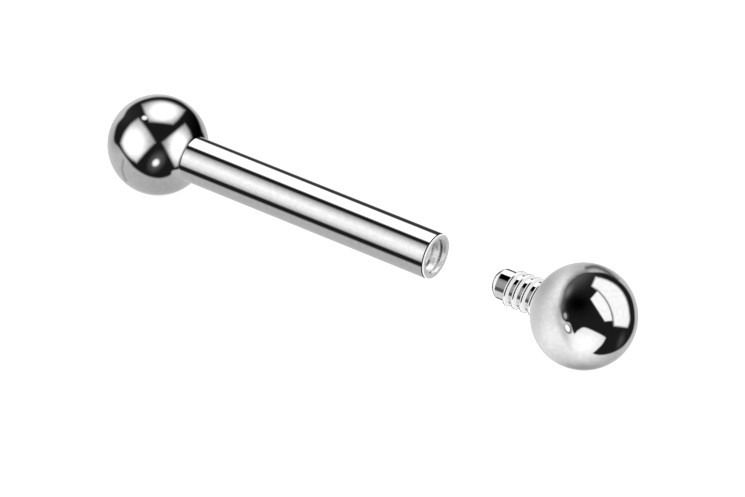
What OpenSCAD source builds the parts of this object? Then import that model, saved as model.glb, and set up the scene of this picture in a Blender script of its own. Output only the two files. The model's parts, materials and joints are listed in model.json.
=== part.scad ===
// Straight barbell with an internally threaded post, drawn apart along its axis.
// The axis runs along X, from the fixed ball to the screw ball, and both balls
// stand on the plane z = 0.

/* [Post] */
// Diameter of the post, a 14 gauge rod
post_d = 1.6; // [1.5:0.1:2]
// Length of post that shows between the fixed ball and the open end
post_len = 10; // [6:1:16]
// Width of the bevel round the open end
bevel = 0.06; // [0.03:0.01:0.1]

/* [Balls] */
// Diameter of both balls
ball_d = 3.5; // [3:0.5:5]
// How far the screw ball stands off its seat, along the axis
drawn_off = 4.1; // [3:0.1:6]

/* [Thread] */
// Outer diameter of the thread on the stud
thread_d = 1.2; // [1.1:0.05:1.2]
// Diameter of the stud's core and of its plain tip
core_d = 1; // [0.9:0.05:1]
// Distance from one turn of the thread to the next
pitch = 0.32; // [0.28:0.01:0.34]
// Hand of the thread, on the stud and in the socket
thread_hand = "left"; // [left, right]
// Number of turns on the stud
stud_turns = 3.5; // [2:0.1:4]
// Length of plain tip in front of the first turn
tip_len = 0.5; // [0.2:0.05:0.6]
// Depth of the threaded socket in the post
socket_depth = 2.4; // [2:0.1:4]

/* [Clearances] */
// Radial gap between the stud's crests and the wall of the socket
slip = 0.012; // [0.01:0.001:0.03]
// Gap between two pieces that are fitted into each other
seam = 0.015; // [0.01:0.001:0.03]

/* [Hidden] */

post_r = post_d / 2;
ball_r = ball_d / 2;
core_r = core_d / 2;
crest_r = thread_d / 2;
socket_r = crest_r + slip;

// the mouth of the socket and the edge of the drilled seats are broken a little
mouth_bevel = 0.03;
socket_mouth_r = socket_r + mouth_bevel;

// where a ball's surface passes a circle of radius r round the axis, from its centre
function ball_at(r) = sqrt(ball_r * ball_r - r * r);

// places along the axis, counted from the fixed ball's centre
open_end = ball_at(post_r) + post_len;
seated_at = open_end + ball_at(socket_mouth_r) + slip;
screw_at = seated_at + drawn_off;
// half of the whole length, so that the box is centred on the origin
half_span = (screw_at + 2 * ball_r) / 2;
fixed_x = ball_r - half_span;
open_x = fixed_x + open_end;
screw_x = fixed_x + screw_at;

// the post enters the fixed ball by this much, and a thinner tenon goes on from there
shoulder_in = 0.12;
tenon_r = 0.5;
tenon_stop = 0.3;
shoulder_x = fixed_x + ball_at(post_r) - shoulder_in;
tenon_x = fixed_x + tenon_stop;

// the thread ends where the stud meets the ball, and the stud goes on inside the ball
thread_end = ball_at(crest_r) + 0.065;
thread_start = thread_end + stud_turns * pitch;
tip_x = screw_x - thread_start - tip_len;
tip_bevel = 0.15;
stud_stop = 0.4;
stud_end_x = screw_x - stud_stop;

// which way the thread winds round the axis on its way from the tip to the ball
turn_way = thread_hand == "right" ? 1 : -1;
// the groove of the socket is this much deeper than its wall
groove_depth = 0.06;
socket_turns = 6.5;
drill_point = 0.3;

round_fn = 96;
steps_per_turn = 24;

// outline across the thread, as [share of its width, share of its height]
ridge_outline = [[-0.5, 0], [-0.42, 0.55], [-0.22, 0.9], [0, 1], [0.22, 0.9], [0.42, 0.55], [0.5, 0]];
groove_outline = [[-0.5, 0], [-0.16, 1], [0.16, 1], [0.5, 0]];

// a cylinder on the axis from x0 to x1, or a cone where the end radii differ
module along(x0, x1, r, r_end) {
    translate([x0, 0, ball_r])
        rotate([0, 90, 0])
            cylinder(h = x1 - x0, r1 = r, r2 = is_undef(r_end) ? r : r_end, $fn = round_fn);
}

module ball(x) {
    translate([x, 0, ball_r])
        sphere(r = ball_r, $fn = round_fn);
}

// a thread round the axis, from x0 on. Its outline stands on root_r and reaches top_r,
// and it rises and dies away over the stated turns at its ends.
module thread(x0, turns, root_r, top_r, width, outline, rise, fall) {
    steps = ceil(turns * steps_per_turn);
    n = len(outline);
    least = 0.15;
    function height(t) = max(least, min(1, t / rise, (turns - t) / fall));
    function at(i, p) =
        let (t = turns * i / steps, r = root_r + (top_r - root_r) * p[1] * height(t))
        [x0 + t * pitch + width * p[0], r * cos(360 * t), ball_r + turn_way * r * sin(360 * t)];
    points = [for (i = [0 : steps]) for (p = outline) at(i, p)];
    sides = [
        for (i = [0 : steps - 1]) for (j = [0 : n - 1])
            let (a = i * n + j, b = i * n + (j + 1) % n)
            each [[a, b, b + n], [a, b + n, a + n]]
    ];
    near_cap = [for (j = [1 : n - 2]) [0, j + 1, j]];
    far_cap = [for (j = [1 : n - 2]) [steps * n, steps * n + j, steps * n + j + 1]];
    // a left-hand thread is wound the other way, so its faces are listed backwards
    faces = [for (f = concat(sides, near_cap, far_cap)) turn_way > 0 ? f : [f[2], f[1], f[0]]];
    polyhedron(points, faces, convexity = 10);
}

module post() {
    color("silver")
        difference() {
            union() {
                along(tenon_x, shoulder_x + seam, tenon_r);
                along(shoulder_x, open_x - bevel, post_r);
                along(open_x - bevel, open_x, post_r, post_r - bevel);
            }
            along(open_x - socket_depth, open_x + 1, socket_r);
            along(open_x - socket_depth - drill_point, open_x - socket_depth, 0.02, socket_r);
            along(open_x - mouth_bevel, open_x + mouth_bevel, socket_r, socket_r + 2 * mouth_bevel);
            thread(open_x - socket_turns * pitch, socket_turns + 0.5, socket_r - 0.03,
                socket_r + groove_depth, 0.8 * pitch, groove_outline, 0.4, 0.001);
        }
}

module fixed_ball() {
    color("silver")
        difference() {
            ball(fixed_x);
            along(shoulder_x - seam, fixed_x + ball_d, post_r + seam);
            along(tenon_x - seam, shoulder_x, tenon_r + seam);
        }
}

module screw_ball() {
    color("silver")
        difference() {
            ball(screw_x);
            along(screw_x - ball_d, stud_end_x + seam, core_r + seam);
        }
}

module threaded_stud() {
    color("lightgray")
        union() {
            along(tip_x, tip_x + tip_bevel, core_r - tip_bevel, core_r);
            along(tip_x + tip_bevel, stud_end_x, core_r);
            thread(screw_x - thread_start, stud_turns, core_r - 0.03, crest_r,
                0.68 * pitch, ridge_outline, 0.25, 0.25);
        }
}

post();
fixed_ball();
screw_ball();
threaded_stud();
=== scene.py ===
# Straight body barbell in mirror-polished surgical steel, internally threaded, its screw ball drawn off.
# The axis runs along X. Everything is in metres, and mm turns a size in millimetres into them.
import bpy
import json
import numpy as np
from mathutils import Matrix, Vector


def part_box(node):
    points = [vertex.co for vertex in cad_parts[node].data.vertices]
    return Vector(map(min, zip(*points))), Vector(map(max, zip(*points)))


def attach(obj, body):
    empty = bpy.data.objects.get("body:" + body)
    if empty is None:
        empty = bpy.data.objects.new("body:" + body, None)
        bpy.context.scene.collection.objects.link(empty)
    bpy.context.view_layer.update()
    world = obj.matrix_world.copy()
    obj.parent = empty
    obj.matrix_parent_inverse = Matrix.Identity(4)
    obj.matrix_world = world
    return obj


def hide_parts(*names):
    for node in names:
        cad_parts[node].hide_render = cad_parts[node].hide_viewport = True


mm = 0.001
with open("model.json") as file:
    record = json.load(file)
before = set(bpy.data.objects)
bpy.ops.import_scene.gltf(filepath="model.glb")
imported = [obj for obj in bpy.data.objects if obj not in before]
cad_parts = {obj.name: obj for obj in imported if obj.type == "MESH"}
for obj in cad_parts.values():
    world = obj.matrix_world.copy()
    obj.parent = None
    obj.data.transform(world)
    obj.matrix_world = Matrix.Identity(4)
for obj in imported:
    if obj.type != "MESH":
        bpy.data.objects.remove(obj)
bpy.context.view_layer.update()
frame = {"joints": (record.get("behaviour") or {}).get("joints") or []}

# Camera: high on the right, looking down along the barbell from the screw ball's side. Its values come from a
# least-squares fit to outlines measured in the photo.
cameraView = {
    "azimuth": 34.6,  # degrees round the object
    "elevation": 36.0,  # degrees above the floor
    "distance": 120 * mm,
    "target": (0.343 * mm, 0, 1.034 * mm),
    "lens": 173.15,  # in Blender's own millimetres, as is the sensor's width
    "sensor": 36,
    "clip": (1 * mm, 100),  # the nearest and the furthest that it sees
}


# stands at (sin a cos e, -cos a cos e, sin e) times the distance from its target, and looks back at it
def placeCamera(view):
    a, e = np.radians(view["azimuth"]), np.radians(view["elevation"])
    back = np.array([np.sin(a) * np.cos(e), -np.cos(a) * np.cos(e), np.sin(e)])
    data = bpy.data.cameras.new("camera")
    data.lens = view["lens"]
    data.sensor_width = view["sensor"]
    data.clip_start, data.clip_end = view["clip"]
    camera = bpy.data.objects.new("camera", data)
    camera.location = np.array(view["target"]) + view["distance"] * back
    camera.rotation_euler = (np.pi / 2 - e, 0, a)
    bpy.context.scene.collection.objects.link(camera)
    bpy.context.scene.camera = camera
    return np.array(camera.location), np.array([np.cos(a), np.sin(a), 0])


cameraPlace, cameraRight = placeCamera(cameraView)
print("camera placed")

# Places along the axis, read from the frame's flat ends
ballRadius = 1.75 * mm
axisHeight = ballRadius
tenonStop = 0.3 * mm  # the post's tenon stops this far short of the fixed ball's middle
studStop = 0.4 * mm  # and the stud this far short of the screw ball's
tenonX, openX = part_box("post")[0][0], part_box("post")[1][0]
tipX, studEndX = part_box("threaded_stud")[0][0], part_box("threaded_stud")[1][0]
fixedX = tenonX - tenonStop
screwX = studEndX + studStop
closingTravel = frame["joints"][0]["range_m"][0]  # the screw ball's slide to its seat


# sRGB brightness, as a share of white, to linear
def toLinear(share):
    return np.where(share <= 0.04045, share / 12.92, ((share + 0.055) / 1.055) ** 2.4)


# sRGB hex code, such as "#C8C8CA", to linear colour
def hexToLinear(code):
    return (*toLinear(np.array([int(code[i:i + 2], 16) for i in (1, 3, 5)]) / 255), 1)


# adds a node with its settings; an input takes a number, a colour or another node's output
def addNode(tree, kind, inputs={}, **settings):
    node = tree.nodes.new(kind)
    for name, value in settings.items():
        setattr(node, name, value)
    for name, value in inputs.items():
        if isinstance(value, bpy.types.NodeSocket):
            tree.links.new(value, node.inputs[name])
        else:
            node.inputs[name].default_value = value
    return node


def newMaterial(name):
    material = bpy.data.materials.new(name)
    material.use_nodes = True
    material.node_tree.nodes.clear()
    return material, material.node_tree


# Surgical stainless steel, tumbled and then buffed to a mirror: a neutral grey metal that shows the room
# sharply, through hairlines from the buffing wheel that bend the reflections a little
polish = {
    "colour": "#CFCFCF",  # the mean of the film's two, by which the light is set
    "film": ("#CACACA", "#D4D4D4"),  # buffing compound leaves a faint uneven film
    "filmPatch": 0.14 * mm,
    "roughness": (0.03, 0.055),
    "patch": 0.6 * mm,  # how wide the brighter and duller patches of polish are
    "hairline": 0.05 * mm,  # real ones are about 0.005 mm, too fine to show, so they are drawn coarser
    "hairlineDepth": 0.00002 * mm,
    "hairlineTurn": (0.3, 0.5, 0.2),  # radians; the way that the wheel ran
    "hairlineSquash": (0.06, 1, 1),  # which makes them long that way
}


def makePolishedSteel():
    material, tree = newMaterial("mirror_polished_surgical_steel")
    place = addNode(tree, "ShaderNodeTexCoord").outputs["Object"]
    patches = addNode(tree, "ShaderNodeTexNoise", {
        "Vector": place, "Scale": 1 / polish["patch"], "Detail": 3})
    dull = addNode(tree, "ShaderNodeMapRange", {
        "Value": patches.outputs["Fac"], "To Min": polish["roughness"][0], "To Max": polish["roughness"][1]})
    along = addNode(tree, "ShaderNodeMapping", {
        "Vector": place, "Rotation": polish["hairlineTurn"], "Scale": polish["hairlineSquash"]})
    hairlines = addNode(tree, "ShaderNodeTexNoise", {
        "Vector": along.outputs["Vector"], "Scale": 1 / polish["hairline"], "Detail": 2, "Roughness": 0.6})
    relief = addNode(tree, "ShaderNodeBump", {
        "Height": hairlines.outputs["Fac"], "Strength": 1, "Distance": polish["hairlineDepth"]})
    wipes = addNode(tree, "ShaderNodeTexNoise", {
        "Vector": place, "Scale": 1 / polish["filmPatch"], "Detail": 2})
    wiped = addNode(tree, "ShaderNodeMapRange", {
        "Value": wipes.outputs["Fac"], "From Min": 0.3, "From Max": 0.7})
    film = addNode(tree, "ShaderNodeMix", {
        "Factor": wiped.outputs["Result"],
        "A": hexToLinear(polish["film"][0]), "B": hexToLinear(polish["film"][1])}, data_type="RGBA")
    steel = addNode(tree, "ShaderNodeBsdfPrincipled", {
        "Base Color": film.outputs["Result"], "Metallic": 1,
        "Roughness": dull.outputs["Result"], "Normal": relief.outputs["Normal"]})
    addNode(tree, "ShaderNodeOutputMaterial", {"Surface": steel.outputs["BSDF"]})
    return material


# The same steel as the lathe leaves it, with the tool's fine marks round the axis, which spread a highlight
# across them, and a torn grain that is darker in spots
turning = {
    "patch": 0.15 * mm,  # how wide the brighter and duller patches are
    "grain": 0.07 * mm,
    "toolMark": 0.03 * mm,  # real feed marks are about 0.01 mm apart, drawn coarser to show
}
turnedThread = {  # a sharp tool's light cut, nearly as bright as polish
    "name": "lathe_turned_steel_thread",
    "marks": "BANDS",
    "markDepth": 0.00008 * mm,
    "roughness": (0.03, 0.06),
    "shades": ("#CACACA", "#CFCFCF"),
}
facedEnd = {  # satin, in rings about the axis
    "name": "lathe_faced_steel_end",
    "marks": "RINGS",
    "markDepth": 0.00016 * mm,
    "roughness": (0.20, 0.32),
    "shades": ("#B4B4B4", "#CFCFCF"),
}
tappedSocket = {  # matt and pale, as the tap leaves it where no buffing wheel reaches
    "name": "tapped_steel_socket",
    "marks": "BANDS",
    "markDepth": 0.00016 * mm,
    "roughness": (0.44, 0.54),
    "shades": ("#C8C8C8", "#DEDEDE"),
    # painted shade: the colour darkens in the root of the thread, where shade falls, in uneven patches of the
    # width given last. It begins at the first of these distances from the axis and is darkest from the second
    # on.
    "root": {"from": 0.639 * mm, "to": 0.6495 * mm, "colour": "#606060", "shadePatch": 0.32 * mm},
}


def makeTurnedSteel(finish):
    material, tree = newMaterial(finish["name"])
    place = addNode(tree, "ShaderNodeTexCoord").outputs["Object"]
    centred = addNode(tree, "ShaderNodeMapping", {"Vector": place, "Location": (0, 0, -axisHeight)})
    patches = addNode(tree, "ShaderNodeTexNoise", {
        "Vector": place, "Scale": 1 / turning["patch"], "Detail": 4})
    dull = addNode(tree, "ShaderNodeMapRange", {
        "Value": patches.outputs["Fac"], "To Min": finish["roughness"][0], "To Max": finish["roughness"][1]})
    # one band of the wave texture is pi / 10 of its own units wide
    marks = addNode(tree, "ShaderNodeTexWave", {
        "Vector": centred.outputs["Vector"], "Scale": np.pi / 10 / turning["toolMark"],
        "Distortion": 0.6, "Detail": 2, "Detail Scale": 2},
        wave_type=finish["marks"], rings_direction="X", bands_direction="X")
    relief = addNode(tree, "ShaderNodeBump", {
        "Height": marks.outputs["Fac"], "Strength": 1, "Distance": finish["markDepth"]})
    grain = addNode(tree, "ShaderNodeTexNoise", {
        "Vector": place, "Scale": 1 / turning["grain"], "Detail": 3})
    spread = addNode(tree, "ShaderNodeMapRange", {
        "Value": grain.outputs["Fac"], "From Min": 0.35, "From Max": 0.65})
    shade = addNode(tree, "ShaderNodeMix", {
        "Factor": spread.outputs["Result"],
        "A": hexToLinear(finish["shades"][0]), "B": hexToLinear(finish["shades"][1])}, data_type="RGBA")
    # painted shade: the thread's root is darkened in patches by its distance from the axis, standing in for
    # the shade there
    if "root" in finish:
        root = finish["root"]
        across = addNode(tree, "ShaderNodeVectorMath", {
            0: centred.outputs["Vector"], 1: (0, 1, 1)}, operation="MULTIPLY")
        distance = addNode(tree, "ShaderNodeVectorMath", {0: across.outputs["Vector"]}, operation="LENGTH")
        inRoot = addNode(tree, "ShaderNodeMapRange", {
            "Value": distance.outputs["Value"], "From Min": root["from"], "From Max": root["to"]})
        shadePatches = addNode(tree, "ShaderNodeTexNoise", {
            "Vector": place, "Scale": 1 / root["shadePatch"], "Detail": 2})
        shadePatchShare = addNode(tree, "ShaderNodeMapRange", {
            "Value": shadePatches.outputs["Fac"], "From Min": 0.40, "From Max": 0.58, "To Min": 0.25})
        rootShade = addNode(tree, "ShaderNodeMath", {
            0: inRoot.outputs["Result"], 1: shadePatchShare.outputs["Result"]}, operation="MULTIPLY")
        shade = addNode(tree, "ShaderNodeMix", {
            "Factor": rootShade.outputs[0],
            "A": shade.outputs["Result"], "B": hexToLinear(root["colour"])}, data_type="RGBA")
    steel = addNode(tree, "ShaderNodeBsdfPrincipled", {
        "Base Color": shade.outputs["Result"], "Metallic": 1,
        "Roughness": dull.outputs["Result"], "Normal": relief.outputs["Normal"]})
    addNode(tree, "ShaderNodeOutputMaterial", {"Surface": steel.outputs["BSDF"]})
    return material


polishedSteel = makePolishedSteel()
studSteel = makeTurnedSteel(turnedThread)
facedSteel = makeTurnedSteel(facedEnd)
tappedSteel = makeTurnedSteel(tappedSocket)
print("materials made")

endRadius = 0.1 * mm  # the last ring on a flat end, round the point on the axis that closes it
sharpAngle = 40  # degrees; an edge that bends by more than this stays sharp


# A closed surface round the axis: point (x, r cos t, axisHeight + r sin t), with t in even steps of a turn.
# x and r are arrays of (rings, sectors) or (rings,), and a point on the axis closes each end.
# Faces point out where the profile runs towards +X, and into the hole where it runs back. Where there are
# several materials, bands holds the number of the one that follows each ring.
def roundPiece(name, x, r, sectors, body, node, materials, bands=None):
    t = np.arange(sectors) * 2 * np.pi / sectors
    x, r = (np.broadcast_to(v if v.ndim == 2 else v[:, None], (len(v), sectors)) for v in (x, r))
    rings = np.stack([x, r * np.cos(t), axisHeight + r * np.sin(t)], -1).reshape(-1, 3)
    ends = [[x[0].mean(), 0, axisHeight], [x[-1].mean(), 0, axisHeight]]
    corner = np.arange(len(rings)).reshape(-1, sectors)
    turned = np.roll(corner, -1, 1)
    quads = np.stack([corner[:-1], turned[:-1], turned[1:], corner[1:]], -1).reshape(-1, 4)
    nearCap = np.stack([np.full(sectors, len(rings)), turned[0], corner[0]], -1)
    farCap = np.stack([np.full(sectors, len(rings) + 1), corner[-1], turned[-1]], -1)
    faces = quads.tolist() + nearCap.tolist() + farCap.tolist()
    mesh = bpy.data.meshes.new(name)
    mesh.from_pydata(np.concatenate([rings, ends]).tolist(), [], faces)
    for material in materials:
        mesh.materials.append(material)
    if bands is not None:
        index = np.concatenate([np.repeat(bands[:-1], sectors), np.repeat(bands[[0, -1]], sectors)])
        mesh.polygons.foreach_set("material_index", index.astype(np.int32))
    mesh.polygons.foreach_set("use_smooth", np.ones(len(mesh.polygons), bool))
    mesh.set_sharp_from_angle(angle=np.radians(sharpAngle))
    mesh.update()
    piece = bpy.data.objects.new(name, mesh)
    bpy.context.scene.collection.objects.link(piece)
    piece.visible_glossy = False  # each piece mirrors its own light tent and not its neighbours
    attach(piece, body)
    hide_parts(node)
    return piece


# joins stretches of profile, each a pair of x and r
def joined(*stretches):
    return [np.hstack([stretch[i] for stretch in stretches]) for i in (0, 1)]


# the same radii at every angle
def allRound(r, sectors):
    return np.repeat(np.asarray(r)[:, None], sectors, 1)


# Height of a helical thread, from 0 to about 1: with q turns counted along the axis less those counted round
# it, the nearest whole number is the turn and the rest is the distance from its crest. Across a turn it is
# (1 - lean * off) * (1 - |off| ** 3) ** 0.7, where off runs from -1 to 1 between the feet of its flanks,
# and it grows and dies away over part of a turn at its ends. It is a left-hand thread, so the angle is
# counted backwards.
def threadHeight(x, sectors, startX, thread):
    angle = -np.arange(sectors) / sectors % 1
    q = (x[:, None] - startX) / thread["pitch"] - angle
    turn = np.round(q)
    tipFlank, ballFlank = thread["flanks"]
    off = (q - turn) / np.where(q < turn, tipFlank, ballFlank)
    passed = turn + angle
    rise, fall = thread["fades"]
    grown = np.clip(np.minimum(passed / rise, (thread["turns"] - passed) / fall), 0, 1)
    return (1 - thread["lean"] * off) * np.clip(1 - np.abs(off) ** 3, 0, 1) ** 0.7 * grown


# Both balls are spheres whose first ring stands poleAngle, in radians, from the pole
ballMesh = {"rings": 150, "sectors": 256, "poleAngle": 0.012}


# an arc of a ball's outline: x = centre - R cos a and r = R sin a
def sphereArc(centre, fromAngle, toAngle):
    a = np.linspace(fromAngle, toAngle, ballMesh["rings"])
    return centre - ballRadius * np.cos(a), ballRadius * np.sin(a)


# Fixed ball: drilled for the post and its tenon
fixedBall = {
    "seatRadius": 0.804 * mm,
    "tenonRadius": 0.515 * mm,
    "shoulderIn": 0.135 * mm,  # how deep the seat goes below the ball's surface
}


def makeFixedBall(spec):
    seatR, tenonR = spec["seatRadius"], spec["tenonRadius"]
    mouth = np.pi - np.arcsin(seatR / ballRadius)
    seatX = fixedX - ballRadius * np.cos(mouth) - spec["shoulderIn"]
    x, r = joined(
        sphereArc(fixedX, ballMesh["poleAngle"], mouth),
        ([seatX, seatX, tenonX, tenonX], [seatR, tenonR, tenonR, endRadius]))
    return roundPiece("fixed_ball_polished", x, r, ballMesh["sectors"],
                      "fixed_end", "fixed_ball", [polishedSteel])


# Screw ball: drilled for the stud
screwBall = {
    "holeRadius": 0.53 * mm,
    "holeGap": 0.015 * mm,  # between the stud's end and the bottom of the hole
}


def makeScrewBall(spec):
    mouth = np.arcsin(spec["holeRadius"] / ballRadius)
    bottomX = studEndX + spec["holeGap"]
    x, r = joined(
        ([bottomX, bottomX], [endRadius, spec["holeRadius"]]),
        sphereArc(screwX, mouth, np.pi - ballMesh["poleAngle"]))
    return roundPiece("screw_ball_polished", x, r, ballMesh["sectors"],
                      "screw_end", "screw_ball", [polishedSteel])


# Stud: a plain pilot with a rounded nose, then a left-hand thread with narrow lands up to the screw ball
stud = {
    "coreRadius": 0.52 * mm,
    "crestRadius": 0.635 * mm,
    "noseLength": 0.21 * mm,
    "noseDrop": 0.17 * mm,  # how much smaller the tip's radius is
    "noseCurve": 1.45,
    "noseRings": 25,
    "pilotFrom": 1.03,  # the plain pilot's first ring, in lengths of the nose
    "threadStart": 2.829 * mm,  # from the screw ball's centre
    "thread": {
        "pitch": 0.32 * mm,
        "turns": 3.9,  # the last part of a turn runs into the ball
        "flanks": (0.34, 0.24),  # shares of the pitch, towards the tip and towards the ball
        "fades": (0.3, 0.12),  # turns over which it grows and dies away
        "lean": 0.07,  # the lands fall a little towards the ball
    },
    "threadRings": 420,  # close together along the thread and past both its ends
    "threadMargin": 0.5,  # in pitches
    "rootRings": 12,  # from there to the stud's end, inside the ball
    "sectors": 208,
}
threadStartX = screwX - stud["threadStart"]


# The nose is x = tip + noseLength u and r = core - noseDrop (1 - u) ** noseCurve, with u from 0 to 1. Behind
# it r = core + (crest - core) times the thread's height.
def makeStud(spec):
    core, thread, sectors = spec["coreRadius"], spec["thread"], spec["sectors"]
    u = np.linspace(0, 1, spec["noseRings"])
    noseX, noseR = joined(
        (tipX, endRadius),
        (tipX + spec["noseLength"] * u, core - spec["noseDrop"] * (1 - u) ** spec["noseCurve"]),
        (tipX + spec["pilotFrom"] * spec["noseLength"], core))
    threadFrom = threadStartX - spec["threadMargin"] * thread["pitch"]
    threadTo = threadStartX + (thread["turns"] + spec["threadMargin"]) * thread["pitch"]
    x = np.concatenate([
        np.linspace(threadFrom, threadTo, spec["threadRings"]),
        np.linspace(threadTo, studEndX, spec["rootRings"])[1:]])
    x = x[x > noseX[-1]]
    r = core + (spec["crestRadius"] - core) * threadHeight(x, sectors, threadStartX, thread)
    return roundPiece("threaded_stud_turned", np.concatenate([noseX, x, [studEndX]]),
                      np.concatenate([allRound(noseR, sectors), r, allRound([endRadius], sectors)]), sectors,
                      "screw_end", "threaded_stud", [studSteel])


# Post: a ground and polished rod with a rolled-over edge at its open end, faced flat round a threaded socket
post = {
    "radius": 0.8 * mm,
    "tenonRadius": 0.5 * mm,
    "shoulderIn": 0.12 * mm,  # how deep the rod goes below the fixed ball's surface
    "rodRings": 20,
    "edgeRound": 0.10 * mm,  # lengths of the rounding and of the cone that ends it
    "edgeCone": 0.026 * mm,
    "edgeTilt": 30,  # degrees
    "edgeRings": 13,
    "mouthRadius": 0.62 * mm,
    "mouthSlope": 3,  # the edge of the mouth is broken, so that the ball doesn't touch it before its seat
    "boreRadius": 0.595 * mm,
    "boreDepth": 2.4 * mm,
    "boreRings": 300,
    "grooveRadius": 0.65 * mm,
    "grooveLead": 20,  # turns of groove before the one that meets the stud's first
    "groove": {  # it starts and ends far outside the socket, so its fades don't show
        "pitch": stud["thread"]["pitch"],
        "turns": 60,
        "flanks": (0.28, 0.28),
        "fades": (1, 1),
        "lean": 0,
    },
    "grooveRunOut": 0.01 * mm,  # where the groove ends in the drilled bottom
    "drillPoint": 0.3 * mm,
    "drillTip": 0.01 * mm,
    "sectors": 256,
}


# The edge is rounded by x = start + R sin a and r = radius - R (1 - cos a), with a from 0 to edgeTilt, and
# goes on as a cone at that tilt. In the socket r = bore + (grooveRadius - bore) times the groove's height,
# or mouthRadius - mouthSlope times the depth, whichever is more.
def makePost(spec):
    radius, tenonR, boreR, sectors = spec["radius"], spec["tenonRadius"], spec["boreRadius"], spec["sectors"]
    shoulderX = fixedX + np.sqrt(ballRadius ** 2 - radius ** 2) - spec["shoulderIn"]
    a = np.radians(np.linspace(0, spec["edgeTilt"], spec["edgeRings"]))
    arc = spec["edgeRound"] / np.sin(a[-1])
    edgeX = openX - spec["edgeCone"] - spec["edgeRound"] + arc * np.sin(a)
    edgeR = radius - arc * (1 - np.cos(a))
    faceR = edgeR[-1] - spec["edgeCone"] * np.tan(a[-1])
    rodX = np.linspace(shoulderX, edgeX[0], spec["rodRings"])[1:-1]
    outsideX, outsideR = joined(
        ([tenonX, tenonX, shoulderX, shoulderX], [endRadius, tenonR, tenonR, radius]),
        (rodX, np.full(len(rodX), radius)),
        (edgeX, edgeR),
        ([openX, openX], [faceR, (faceR + spec["mouthRadius"]) / 2]))
    boreX = np.linspace(openX, openX - spec["boreDepth"], spec["boreRings"])
    # the groove stands where the stud's ridges come to lie once the ball is screwed home
    grooveX = threadStartX + closingTravel - spec["grooveLead"] * spec["groove"]["pitch"]
    wall = boreR + (spec["grooveRadius"] - boreR) * threadHeight(boreX, sectors, grooveX, spec["groove"])
    mouth = spec["mouthRadius"] - spec["mouthSlope"] * (openX - boreX)
    bottomX = openX - spec["boreDepth"] - np.array([spec["grooveRunOut"], spec["drillPoint"]])
    x = np.concatenate([outsideX, boreX, bottomX])
    r = np.concatenate([
        allRound(outsideR, sectors), np.maximum(wall, mouth[:, None]),
        allRound([boreR, spec["drillTip"]], sectors)])
    # polished up to the edge, then faced from the last two rings outside, then tapped
    ring = np.arange(len(x))
    bands = (ring >= len(outsideX) - 2).astype(int) + (ring >= len(outsideX))
    return roundPiece("post_polished", x, r, sectors, "fixed_end", "post",
                      [polishedSteel, facedSteel, tappedSteel], bands)


fixedBallPiece = makeFixedBall(fixedBall)
postPiece = makePost(post)
screwBallPiece = makeScrewBall(screwBall)
studPiece = makeStud(stud)
print("pieces made")

# Studio light. Polished steel shows only what stands round it, so each piece has a light tent of its own: a
# large dome with lamps, panes and black flags, seen by that piece's reflections alone and by nothing else.
# A wall's grey, from 0 to 255, is the one that it gives in the steel, and a lamp may be stronger than white.
steelShare = hexToLinear(polish["colour"])[0]  # of the light that falls on it, given back
lampStrength = 1.5  # of a bare lamp, in times of white
edgeSoftness = 0.05  # of a card that gives none of its own
outlineSteps = 10  # points on each side of a card


def levelOf(grey):
    return toLinear(np.asarray(grey) / 255) / steelShare


# A ball's tent is painted with cards laid over each other in order. Places are those where a card shows on
# the ball: (right, up) from its middle, in radii. A card fills its corners' outline, or an ellipse of two
# radii, or else the whole tent. Corners are joined by straight sides, or by parabolas that stand out by a
# bulge, or make an open line of the given width, or are joined by a round curve through them all: from b to
# c, with a before them and d after, it is b + t (c - a + t (2a - 5b + 4c - d + t (3b - a - 3c + d))) / 2.
# A card's edge fades over soft, which for an ellipse is a share of its radii.
# The outlines are drawn one by one. Most of the balls' greys, softness and glows weren't chosen by hand: they
# were fitted to the photographed balls by least squares. They were then rounded, and some were changed.
def outlineOf(card):
    corners = np.array(card["corners"], float)
    if "line" in card:
        return corners
    after, later, before = np.roll(corners, -1, 0), np.roll(corners, -2, 0), np.roll(corners, 1, 0)
    t = np.linspace(0, 1, outlineSteps, endpoint=False)[:, None, None]
    if card.get("round"):
        bend = 2 * before - 5 * corners + 4 * after - later + t * (3 * corners - before - 3 * after + later)
        curve = corners + t / 2 * (after - before + t * bend)
    else:
        side = after - corners
        turnWay = np.sign(np.sum(corners[:, 0] * after[:, 1] - corners[:, 1] * after[:, 0]))
        outward = turnWay * np.stack([side[:, 1], -side[:, 0]], 1) / np.linalg.norm(side, axis=1)[:, None]
        bulges = np.array(card.get("bulges", [0] * len(corners)), float)[:, None]
        curve = corners + t * side + 4 * t * (1 - t) * bulges * outward
    return curve.transpose(1, 0, 2).reshape(-1, 2)


# distance of each point from the nearest side, above 0 inside the outline; an open line has no inside
def depthIn(points, outline, isLine):
    nearest = np.full(len(points), np.inf)
    inside = np.zeros(len(points), bool)
    ends = outline[1:] if isLine else np.roll(outline, -1, 0)
    for start, end in zip(outline, ends):
        side = end - start
        share = np.clip((points - start) @ side / (side @ side), 0, 1)
        nearest = np.minimum(nearest, np.linalg.norm(points - start - share[:, None] * side, axis=1))
        if side[1]:
            crossing = start[0] + side[0] * (points[:, 1] - start[1]) / side[1]
            inside ^= ((points[:, 1] < start[1]) != (points[:, 1] < end[1])) & (points[:, 0] < crossing)
    return np.where(inside & (not isLine), nearest, -nearest)


# distance from a place in units of a turned ellipse's two radii; the turn is in degrees
def ellipseDistance(points, at, radii, turn=0):
    c, s = np.cos(np.radians(turn)), np.sin(np.radians(turn))
    return np.linalg.norm((points - at) @ np.array([[c, -s], [s, c]]) / radii, axis=1)


# 0 up to low, 1 from high on and t * t * (3 - 2 * t) between them; with low the higher of the two it falls
def softStep(low, high, value):
    t = np.clip((value - low) / (high - low), 0, 1)
    return t * t * (3 - 2 * t)


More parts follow.
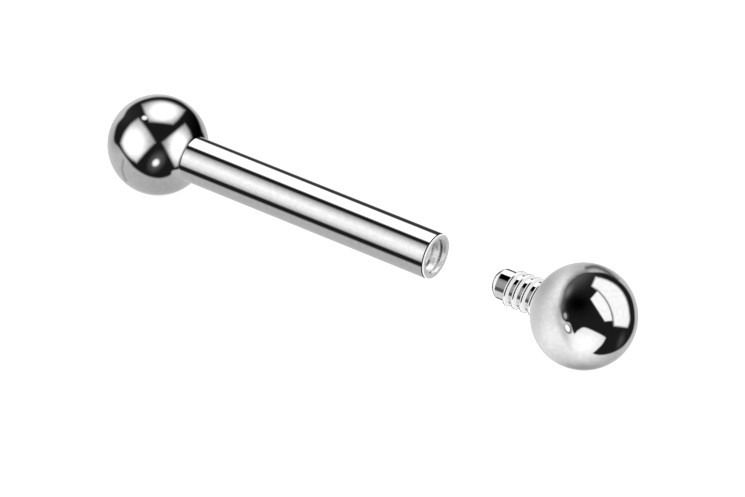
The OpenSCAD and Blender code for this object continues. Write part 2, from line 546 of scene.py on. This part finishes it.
# a glow pulls its card's level towards its own by exp(-distance ** power), with distance in reaches
def paintCards(points, cards):
    level = np.zeros(len(points))
    for card in cards:
        own = np.full(len(points), levelOf(card["grey"]))
        for glow in card.get("glows", []):
            away = ellipseDistance(points, glow["at"], glow["reach"], glow.get("turn", 0))
            target = glow["times"] * levelOf(255) if "times" in glow else levelOf(glow["grey"])
            own += (target - own) * np.exp(-away ** glow.get("power", 2))
        cover, soft = 1, card.get("soft", edgeSoftness)
        if "corners" in card:
            depth = depthIn(points, outlineOf(card), "line" in card) + card.get("line", 0) / 2
            cover = softStep(-soft / 2, soft / 2, depth)
        if "radii" in card:
            away = ellipseDistance(points, card["at"], card["radii"], card.get("turn", 0))
            cover = softStep(1 + soft, 1 - soft, away)
        level += (own - level) * cover
    return level


# Two panes and a skylight meet in a cross over the fixed ball, on black cloth, with a small lamp below them
fixedBallTent = [
    {"grey": 189, "glows": [
        {"at": (-0.47, -0.51), "reach": (0.51, 0.35), "grey": 178},
        {"at": (0.48, -0.56), "reach": (0.23, 0.15), "grey": 215},
        {"at": (0.15, -0.95), "reach": (0.71, 0.58), "grey": 161},
        {"at": (-0.81, 0.11), "reach": (0.14, 0.25), "grey": 150},
        {"at": (0.82, 0.24), "reach": (0.20, 0.50), "grey": 164}]},
    {"grey": 140, "line": 0.03, "corners": [(-0.68, -0.30), (-0.71, -0.46), (-0.68, -0.60), (-0.63, -0.71)]},
    {"grey": 25, "round": True, "soft": 0.055, "glows": [
        {"at": (0.80, 0.31), "reach": (0.24, 0.66), "grey": 2},
        {"at": (-0.72, 0.60), "reach": (0.30, 0.19), "grey": 45}],
     "corners": [
        (-0.775, -0.045), (-0.855, 0.05), (-0.865, 0.17), (-0.81, 0.39), (-0.685, 0.55), (-0.61, 0.68),
        (-0.49, 0.79), (-0.34, 0.87), (-0.18, 0.92), (-0.03, 0.945), (0.17, 0.94), (0.34, 0.90),
        (0.48, 0.83), (0.62, 0.72), (0.72, 0.61), (0.79, 0.49), (0.84, 0.36), (0.865, 0.27),
        (0.905, 0.18), (0.905, 0.10), (0.865, -0.02), (0.80, -0.13), (0.75, -0.26), (0.65, -0.38),
        (0.57, -0.44), (0.43, -0.475), (0.28, -0.51), (0.23, -0.60), (0.03, -0.655), (-0.21, -0.61),
        (-0.45, -0.465), (-0.60, -0.29)]},
    {"grey": 165, "soft": 0.085,
     "corners": [(-0.06, 0.045), (-0.385, 0.515), (-0.73, 0.03), (-0.42, -0.345)],
     "bulges": [0.02, 0.06, 0.045, -0.01],
     "glows": [{"at": (-0.47, 0.045), "reach": (0.225, 0.30), "times": lampStrength, "power": 2.4}]},
    {"grey": 147, "soft": 0.08,
     "corners": [(0.08, 0.045), (0.525, 0.41), (0.655, 0.14), (0.385, -0.41), (0.33, -0.43)],
     "bulges": [0, 0.02, -0.04, 0, 0],
     "glows": [{"at": (0.41, -0.04), "reach": (0.19, 0.31), "times": lampStrength, "power": 2.4}]},
    {"grey": 140, "soft": 0.08,
     "corners": [(-0.165, 0.45), (-0.315, 0.79), (0.525, 0.68), (0.29, 0.40)],
     "bulges": [0.01, 0.125, 0.015, -0.01],
     "glows": [{"at": (0.10, 0.65), "reach": (0.31, 0.19), "times": lampStrength, "power": 2.7}]},
    {"grey": 95, "at": (-0.03, -0.33), "radii": (0.10, 0.16), "turn": -35, "soft": 0.95},
    {"grey": 255, "at": (-0.045, -0.35), "radii": (0.055, 0.07), "turn": -40, "soft": 0.6},
    {"grey": 255, "at": (-0.265, 0.527), "radii": (0.05, 0.04), "soft": 0.5},
]

# The screw ball stands in a bright silver room, under a window of two panes in a black wall
screwBallTent = [
    {"grey": 178, "glows": [
        {"at": (-0.63, 0.50), "reach": (0.60, 0.22), "turn": -45, "grey": 161},
        {"at": (-0.51, 0.18), "reach": (0.25, 0.39), "turn": -20, "grey": 221},
        {"at": (-0.99, 0.01), "reach": (0.17, 0.42), "grey": 194},
        {"at": (-0.60, -0.34), "reach": (0.27, 0.37), "grey": 237},
        {"at": (0.03, -0.49), "reach": (0.47, 0.35), "grey": 261},
        {"at": (0.02, -0.98), "reach": (1.14, 0.12), "grey": 141},
        {"at": (0.67, -1.02), "reach": (0.33, 0.42), "turn": 40, "grey": 154},
        {"at": (1.02, -0.77), "reach": (0.15, 0.68), "grey": 173},
        {"at": (-0.44, 0.52), "reach": (0.12, 0.34), "turn": -27, "grey": 232}]},
    {"grey": 60, "line": 0.06, "soft": 0.10, "corners": [
        (0.05, 0.89), (0.15, 0.915), (0.24, 0.91), (0.35, 0.865), (0.48, 0.78), (0.60, 0.67)]},
    {"grey": 130, "line": 0.07, "soft": 0.12, "corners": [
        (0.03, 0.82), (-0.12, 0.76), (-0.265, 0.64), (-0.35, 0.49), (-0.40, 0.33), (-0.44, 0.17),
        (-0.435, -0.01)]},
    {"grey": 27, "round": True, "soft": 0.035, "glows": [
        {"at": (-0.29, 0.48), "reach": (0.06, 0.16), "turn": -25, "grey": 146},
        {"at": (-0.19, 0.70), "reach": (0.39, 0.17), "turn": 35, "grey": 82},
        {"at": (-0.42, 0.23), "reach": (0.065, 0.18), "grey": 112},
        {"at": (-0.11, 0.23), "reach": (0.25, 0.20), "grey": 1},
        {"at": (0.67, -0.455), "reach": (0.045, 0.14), "turn": -20, "grey": 67}],
     "corners": [
        (0.17, 0.81), (0.03, 0.805), (-0.11, 0.755), (-0.26, 0.63), (-0.34, 0.50), (-0.39, 0.33),
        (-0.43, 0.17), (-0.41, -0.015), (-0.34, -0.10), (-0.26, -0.13), (-0.185, -0.31), (-0.11, -0.255),
        (0.01, -0.205), (0.25, -0.305), (0.38, -0.38), (0.38, -0.42), (0.32, -0.52), (0.22, -0.62),
        (0.165, -0.68), (0.32, -0.71), (0.54, -0.66), (0.73, -0.54), (0.87, -0.335), (0.925, -0.14),
        (0.93, 0.04), (0.905, 0.23), (0.84, 0.41), (0.735, 0.56), (0.605, 0.675), (0.46, 0.765),
        (0.32, 0.805)]},
    {"grey": 248, "soft": 0.06, "corners": [
        (0.215, 0.72), (0.825, 0.045), (0.79, -0.20), (0.55, -0.17), (0.53, -0.005), (0.245, 0.485),
        (0.145, 0.555)],
     "bulges": [0.18, 0.02, 0, 0, -0.05, 0, 0]},
    {"grey": 247, "soft": 0.035, "corners": [(0.12, 0.32), (0.245, 0.46), (0.515, -0.075), (0.38, -0.09)],
     "bulges": [0, 0.06, 0, 0]},
    {"grey": 130, "line": 0.015, "soft": 0.03, "corners": [
        (0.24, 0.485), (0.375, 0.335), (0.46, 0.185), (0.515, 0.03), (0.54, -0.14)]},
    {"grey": 190, "at": (-0.41, -0.16), "radii": (0.06, 0.32), "turn": 20, "soft": 0.9},
    {"grey": 60, "at": (-0.34, 0.01), "radii": (0.055, 0.085), "turn": 10, "soft": 0.4},
    {"grey": 165, "at": (-0.345, 0.01), "radii": (0.03, 0.055), "turn": 10, "soft": 0.4},
    {"grey": 60, "at": (-0.295, -0.225), "radii": (0.06, 0.10), "turn": 25, "soft": 0.3},
    {"grey": 255, "at": (-0.305, -0.215), "radii": (0.04, 0.075), "turn": 25, "soft": 0.3},
]

# A rod's tent has strip lamps along it. Their place s is the sine of the angle round the rod from the
# camera's side, from -1 at its upper edge to 1 at its lower edge, and a strip of 255 is a bare lamp. Normals
# that tilt along the axis, in degrees towards +X, see other walls. A normal's share n towards the camera is
# 0 at the outline. A pair of limits is where one wall begins to give way to another and has wholly done so.
postStrips = {
    "s": [-1, -0.87, -0.81, -0.50, -0.43, -0.32, -0.25, -0.10, 0.05, 0.25, 0.40, 0.47, 0.60, 0.67, 1],
    "grey": [50, 50, 255, 255, 28, 28, 168, 225, 252, 235, 189, 28, 28, 172, 172],
    "within": (2.6, 3.4),  # the strips show up to this tilt, or more near the outline
    "upTo": (14.5, 15.5),  # and on the first half of the rounded edge
    "beyond": (33, 36, 76, 82),  # and on the broken edge of the mouth
    "tilt": [0, 26, 27.5, 60, 70, 90],  # the rounding ends dark, its cone is white and the flat end grey
    "tiltGrey": [30, 30, 252, 252, 200, 200],
}
studStrips = {
    "s": [-1, -0.60, -0.55, -0.26, -0.19, 0.0, 0.28, 0.37, 0.53, 0.58, 1],
    "grey": [255, 255, 0, 0, 135, 156, 150, 80, 80, 208, 212],
    "within": (0.8, 1.4),
    "tilt": [-90, -6, -3, 12, 16, 80, 90],  # the ridges' lands are black and their flanks bright
    "tiltGrey": [250, 250, 12, 12, 238, 234, 225],
    "beside": {"s": (0.5, 0.65), "tilt": 40, "grey": 252},  # past this s all is bright, up to this tilt
    "outline": {  # a card behind the stud draws a grey line along its outline, where n is less than reach
        "grey": 92,
        "soft": 0.04,
        "tilt": [-30, -6, 3, 14, 30],
        "reach": [0.34, 0.30, 0.28, 0.13, 0.13],
        "upper": 0.25,  # a share added to the reach on the upper side
        "upperS": (0.3, 0.6),
        "more": [0.25, 0.15, 0.04, 0.09, 0.12],  # added to it at both edges
        "moreS": (0.75, 0.9),
    },
}


# right, up and towards the camera, as the camera sees a place
def viewAxes(place):
    toward = cameraPlace - place
    toward /= np.linalg.norm(toward)
    right = cameraRight - (cameraRight @ toward) * toward
    right /= np.linalg.norm(right)
    return np.array([right, np.cross(toward, right), toward])


# the level runs evenly from each grey to the next, along s for the strips and along the tilt for the walls
def paintStrips(seen, normals, strips):
    toward = viewAxes(np.array([openX, 0, axisHeight]))[2]
    front = np.array([0, toward[1], toward[2]]) / np.hypot(toward[1], toward[2])
    down = np.cross([1, 0, 0], front)
    aside, ahead = normals @ down, normals @ front
    s = aside / np.maximum(np.hypot(aside, ahead), 1e-9)  # never divided by 0
    tilt = np.degrees(np.arcsin(np.clip(normals[:, 0], -1, 1)))
    lamps = levelOf(strips["grey"]) * np.where(np.equal(strips["grey"], 255), lampStrength, 1)
    glow = np.interp(tilt, strips["tilt"], levelOf(strips["tiltGrey"]))
    if "beside" in strips:
        beside = strips["beside"]
        share = softStep(*beside["s"], np.abs(s)) * (np.abs(tilt) < beside["tilt"])
        glow += (levelOf(beside["grey"]) - glow) * share
    cover = softStep(*strips["within"][::-1], np.abs(tilt) * seen[:, 2])
    if "upTo" in strips:
        fromTilt, toTilt, endTilt, goneTilt = strips["beyond"]
        again = softStep(fromTilt, toTilt, tilt) * softStep(goneTilt, endTilt, tilt)
        cover = np.maximum(cover, np.maximum(softStep(*strips["upTo"][::-1], tilt), again))
    glow += (np.interp(s, strips["s"], lamps) - glow) * cover
    if "outline" in strips:
        card = strips["outline"]
        reach = np.interp(tilt, card["tilt"], card["reach"])
        reach *= 1 + card["upper"] * softStep(*card["upperS"], -s)
        reach += np.interp(tilt, card["tilt"], card["more"]) * softStep(*card["moreS"], np.abs(s))
        share = softStep(reach + card["soft"], reach - card["soft"], seen[:, 2])
        glow += (levelOf(card["grey"]) - glow) * share
    return glow


# A tent's wall: emission added to a clear shader, so that one tent doesn't stand in another's way
def makeTentMaterial():
    material, tree = newMaterial("light_tent")
    glow = addNode(tree, "ShaderNodeAttribute", attribute_name="glow")
    lamp = addNode(tree, "ShaderNodeEmission", {"Strength": glow.outputs["Fac"]})
    clear = addNode(tree, "ShaderNodeBsdfTransparent")
    both = addNode(tree, "ShaderNodeAddShader", {0: lamp.outputs[0], 1: clear.outputs[0]})
    addNode(tree, "ShaderNodeOutputMaterial", {"Surface": both.outputs[0]})
    material.cycles.emission_sampling = "NONE"
    return material


tentMaterial = makeTentMaterial()
tentDome = {
    "radius": 0.40,
    "step": 0.01,  # how much larger each next tent is
    "rings": 170,
    "sectors": 480,
    "farPole": (0.26, 0.10),  # n at which the wall behind the object starts to even out, and is even
}


# A tent is a dome of radius R round a centre, painted by the normals that mirror it to the camera. A normal
# is (u, v, n) to the right, up and towards the camera, n = sqrt(1 - u2 - v2), and the wall that it mirrors
# lies at R (2 n u, 2 n v, 2 n n - 1). Strips are painted by the normals in the object's own axes.
def pitchTent(name, centreX, order, receiver, cards=None, strips=None):
    centre = np.array([centreX, 0, axisHeight])
    axes = viewAxes(centre)
    rho = np.linspace(0, 1, tentDome["rings"])[:, None]
    angle = np.arange(tentDome["sectors"]) * 2 * np.pi / tentDome["sectors"]
    u, v = rho * np.cos(angle), rho * np.sin(angle)
    n = np.sqrt(np.clip(1 - u * u - v * v, 0, 1))
    seen = np.stack([u, v, n], -1).reshape(-1, 3)
    glow = paintCards(seen[:, :2], cards) if cards else paintStrips(seen, seen @ axes, strips)
    rim = glow.reshape(u.shape)[-1].mean()
    glow += (rim - glow) * softStep(*tentDome["farPole"], seen[:, 2])
    directions = np.stack([2 * n * u, 2 * n * v, 2 * n * n - 1], -1).reshape(-1, 3) @ axes
    points = centre + (tentDome["radius"] + order * tentDome["step"]) * directions
    corner = np.arange(len(points)).reshape(u.shape)
    turned = np.roll(corner, -1, 1)
    quads = np.stack([corner[:-1], corner[1:], turned[1:], turned[:-1]], -1).reshape(-1, 4)
    mesh = bpy.data.meshes.new(name)
    mesh.from_pydata(points.tolist(), [], quads.tolist())
    mesh.attributes.new("glow", "FLOAT", "POINT").data.foreach_set("value", glow.astype(np.float32))
    mesh.materials.append(tentMaterial)
    tent = bpy.data.objects.new(name, mesh)
    bpy.context.scene.collection.objects.link(tent)
    tent.visible_camera = tent.visible_diffuse = tent.visible_transmission = False
    tent.visible_volume_scatter = tent.visible_shadow = False
    seenBy = bpy.data.collections.new(name + "_seen_by")
    seenBy.objects.link(receiver)
    tent.light_linking.receiver_collection = seenBy


pitchTent("tent_fixed_ball", fixedX, 0, fixedBallPiece, cards=fixedBallTent)
pitchTent("tent_screw_ball", screwX, 1, screwBallPiece, cards=screwBallTent)
pitchTent("tent_post", (fixedX + openX) / 2, 2, postPiece, strips=postStrips)
pitchTent("tent_stud", tipX, 3, studPiece, strips=studStrips)
print("light tents pitched")

# Floor: white acrylic, lit from below as well as by the room, so that shadows stay faint
floorSpec = {
    "size": 4.0,
    "drop": 0.004 * mm,  # it lies this far below the balls, so that they don't dip into it
    "colour": "#9A9A9A",
    "shine": 0.86,
}


def makeFloor(spec):
    material, tree = newMaterial("backlit_white_acrylic")
    matt = addNode(tree, "ShaderNodeBsdfDiffuse", {"Color": hexToLinear(spec["colour"])})
    lit = addNode(tree, "ShaderNodeEmission", {"Strength": spec["shine"]})
    both = addNode(tree, "ShaderNodeAddShader", {0: matt.outputs[0], 1: lit.outputs[0]})
    addNode(tree, "ShaderNodeOutputMaterial", {"Surface": both.outputs[0]})
    material.cycles.emission_sampling = "NONE"
    half, z = spec["size"] / 2, -spec["drop"]
    corners = [(-half, -half, z), (half, -half, z), (half, half, z), (-half, half, z)]
    mesh = bpy.data.meshes.new("floor")
    mesh.from_pydata(corners, [], [(0, 1, 2, 3)])
    mesh.materials.append(material)
    floor = bpy.data.objects.new("floor", mesh)
    bpy.context.scene.collection.objects.link(floor)
    floor.visible_glossy = False


# Room: an even white light that the steel doesn't mirror
room = {"colour": "#FFFFFF", "strength": 1}


def lightRoom(spec):
    world = bpy.data.worlds.new("pale_room")
    world.use_nodes = True
    background = world.node_tree.nodes["Background"]
    background.inputs["Color"].default_value = hexToLinear(spec["colour"])
    background.inputs["Strength"].default_value = spec["strength"]
    world.cycles_visibility.glossy = False
    bpy.context.scene.world = world


makeFloor(floorSpec)
lightRoom(room)
bpy.context.scene.view_settings.view_transform = "Standard"
print("floor and room light made")
